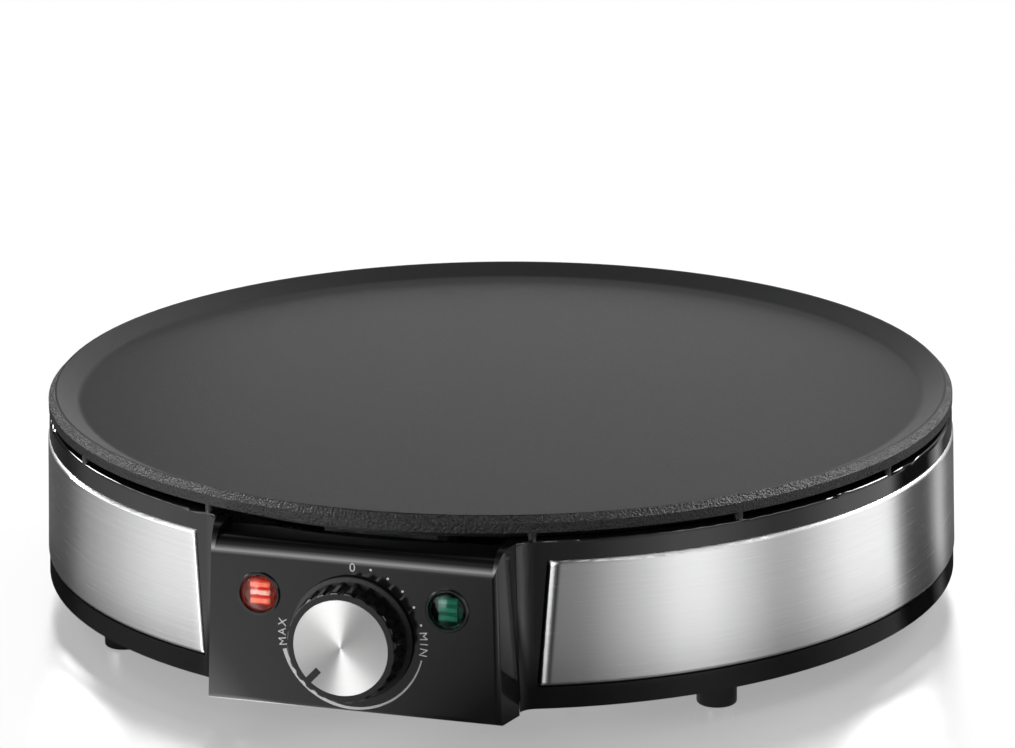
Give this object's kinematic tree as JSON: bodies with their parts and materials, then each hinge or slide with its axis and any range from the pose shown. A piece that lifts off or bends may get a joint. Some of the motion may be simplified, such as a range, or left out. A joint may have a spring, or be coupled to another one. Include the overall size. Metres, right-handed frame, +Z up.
{
  "type": "electric crepe maker",
  "caption": "Electric crepe maker with a round lipped griddle plate, a banded ring housing and a front panel with a thermostat knob and lamps.",
  "frame": {"origin": "on the counter plane under the axis of the griddle plate", "axes": "+Z up along the plate's axis, -Y towards the user and the control panel, +X to the user's right"},
  "size_m": [0.3074, 0.3267, 0.072],
  "materials": {
    "plate_coating": "satin dark coating over a sand-cast skin",
    "element_sheath": "heat-darkened steel tube",
    "ceramic_white": "unglazed",
    "plated_steel": "zinc plated",
    "sheet_aluminium": "mill finish",
    "housing_black": "gloss black",
    "band_steel": "brushed along its length",
    "panel_black": "gloss black with a printed dial",
    "dial_print": "printed dial marks on the panel",
    "floor_black": "moulded black",
    "foot_rubber": "black",
    "knob_black": "gloss black",
    "disc_aluminium": "turned face",
    "brass": "bright",
    "bimetal": "rolled strip",
    "bezel_black": "dark ring",
    "lens_red": "clear red, lit",
    "lens_green": "clear green, unlit",
    "reflector_amber": "bright ribs",
    "reflector_green": "bright ribs",
    "holder_white": "heat-resistant, off-white",
    "bulb_glass": "clear",
    "gland_rubber": "black",
    "wire_blue": "sleeved",
    "wire_white": "sleeved",
    "wire_green": "sleeved",
    "wire_brown": "sleeved"
  },
  "bodies": {
    "housing": {"griddle_plate": "plate_coating", "heating_element": "element_sheath", "element_insulators": "ceramic_white", "element_terminals": "plated_steel", "heat_reflector": "sheet_aluminium", "plate_columns": "plated_steel", "plate_screws": "plated_steel", "body_ring": "housing_black", "steel_band_right": "band_steel", "steel_band_left": "band_steel", "control_panel": "panel_black", "base_cover": "floor_black", "foot_front_right": "foot_rubber", "foot_rear_right": "foot_rubber", "foot_rear_left": "foot_rubber", "foot_front_left": "foot_rubber", "foot_screws": "plated_steel", "panel_screws": "plated_steel", "thermostat_bushing": "brass", "thermostat_nut": "brass", "thermostat_bracket": "plated_steel", "stack_insulators": "ceramic_white", "stack_rivet": "plated_steel", "contact_leaf_moving": "brass", "contact_leaf_fixed": "brass", "bimetal_strip": "bimetal", "underside_screws": "plated_steel", "lamp_bezel_red": "bezel_black", "lamp_lens_red": "lens_red", "lamp_reflector_red": "reflector_amber", "lamp_holder_red": "holder_white", "neon_bulb_red": "bulb_glass", "lamp_bezel_green": "bezel_black", "lamp_lens_green": "lens_green", "lamp_reflector_green": "reflector_green", "lamp_holder_green": "holder_white", "neon_bulb_green": "bulb_glass", "cord_gland": "gland_rubber", "cord_clamp": "floor_black", "cord_clamp_screws": "plated_steel", "terminal_block": "holder_white", "terminal_screws": "brass", "thermal_fuse": "sheet_aluminium", "fuse_clamp": "plated_steel", "earth_lug": "brass", "neutral_wire": "wire_blue", "heater_wire": "wire_white", "earth_wire": "wire_green", "live_wire": "wire_brown", "fuse_wire": "wire_brown", "red_lamp_wire": "wire_white", "green_lamp_wire": "wire_white", "lamp_link_wire": "wire_white"},
    "knob": {"control_knob": "knob_black", "knob_disc": "disc_aluminium", "thermostat_spindle": "plated_steel", "spindle_circlip": "plated_steel"},
    "pin": {"thermostat_pin": "ceramic_white"}
  },
  "joints": [
    {"name": "knob_turn", "type": "hinge", "parent": "housing", "child": "knob", "pos_m": [0, -0.15897, 0.03325], "axis": [0, 0.9993, -0.0366], "range_deg": [-223, 45]},
    {"name": "pin_slide", "type": "slide", "parent": "housing", "child": "pin", "axis": [0, 0.9993, -0.0366], "range_m": [-0.00095, 0.0002]}
  ],
  "couplings": [
    {"joint": "pin_slide", "follows": "knob_turn", "m_per_rad": 0.00023873}
  ]
}
